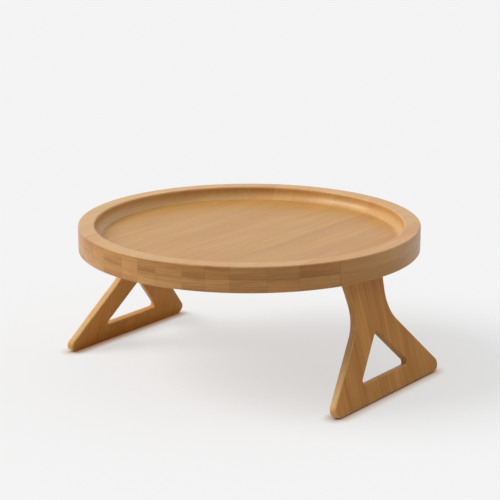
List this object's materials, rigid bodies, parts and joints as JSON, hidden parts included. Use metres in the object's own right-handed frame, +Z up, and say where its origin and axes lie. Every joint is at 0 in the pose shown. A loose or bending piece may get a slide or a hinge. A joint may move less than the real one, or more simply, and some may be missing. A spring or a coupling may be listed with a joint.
{
  "type": "sofa arm tray",
  "caption": "Round bamboo tray with a raised rim on splayed, hinged board legs that straddle a sofa arm and fold flat under it.",
  "frame": {"origin": "on the floor, under the middle of the tray", "axes": "+Z up; X runs from the left leg to the right leg; +Y runs along the hinge pins to the rear"},
  "size_m": [0.35, 0.35, 0.151],
  "materials": {
    "tray_bamboo": "satin lacquered bamboo, strips along Y",
    "rim_bamboo": "satin lacquered bamboo, strips along Y",
    "leg_bamboo": "satin lacquered bamboo, strips from foot to hinge",
    "hinge_metal": "satin nickel-plated steel",
    "hinge_pin_steel": "drawn steel",
    "screw_steel": "zinc-plated steel"
  },
  "bodies": {
    "tray": {"tray_base_board": "tray_bamboo", "tray_rim_ring": "rim_bamboo", "left_front_hinge_tray_leaf": "hinge_metal", "left_front_hinge_pin": "hinge_pin_steel", "left_front_tray_leaf_screws": "screw_steel", "left_rear_hinge_tray_leaf": "hinge_metal", "left_rear_hinge_pin": "hinge_pin_steel", "left_rear_tray_leaf_screws": "screw_steel", "right_front_hinge_tray_leaf": "hinge_metal", "right_front_hinge_pin": "hinge_pin_steel", "right_front_tray_leaf_screws": "screw_steel", "right_rear_hinge_tray_leaf": "hinge_metal", "right_rear_hinge_pin": "hinge_pin_steel", "right_rear_tray_leaf_screws": "screw_steel"},
    "left_leg": {"left_leg": "leg_bamboo", "left_front_hinge_leg_leaf": "hinge_metal", "left_front_leg_leaf_screws": "screw_steel", "left_rear_hinge_leg_leaf": "hinge_metal", "left_rear_leg_leaf_screws": "screw_steel"},
    "right_leg": {"right_leg": "leg_bamboo", "right_front_hinge_leg_leaf": "hinge_metal", "right_front_leg_leaf_screws": "screw_steel", "right_rear_hinge_leg_leaf": "hinge_metal", "right_rear_leg_leaf_screws": "screw_steel"}
  },
  "joints": [
    {"name": "left_leg_fold", "type": "hinge", "parent": "tray", "child": "left_leg", "pos_m": [-0.12921, 0, 0.1222], "axis": [0, -1, 0], "range_deg": [0, 105.8]},
    {"name": "right_leg_fold", "type": "hinge", "parent": "tray", "child": "right_leg", "pos_m": [0.12921, 0, 0.1222], "axis": [0, 1, 0], "range_deg": [0, 105.8]}
  ]
}
